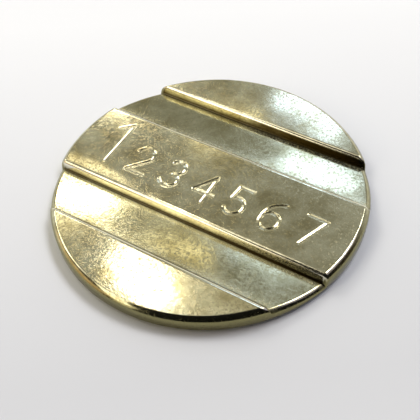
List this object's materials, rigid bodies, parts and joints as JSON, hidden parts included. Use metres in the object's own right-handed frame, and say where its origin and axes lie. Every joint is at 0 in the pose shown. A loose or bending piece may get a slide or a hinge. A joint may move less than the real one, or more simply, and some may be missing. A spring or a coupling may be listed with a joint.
{
  "type": "game token",
  "caption": "Round struck brass game token: three level lands with two straight, slope-bottomed grooves between them on one face, a plain back and a rounded rim.",
  "frame": {"origin": "centre of the plain underside, on the table", "axes": "+Z along the disc's axis, out of the upper face; +X along the grooves of the upper face; +Y across them"},
  "size_m": [0.025, 0.025, 0.0016],
  "materials": {
    "worn_brass": "worn, softly polished by handling, with fine pits and scratches"
  },
  "bodies": {
    "root": {"token": "worn_brass"}
  },
  "joints": []
}
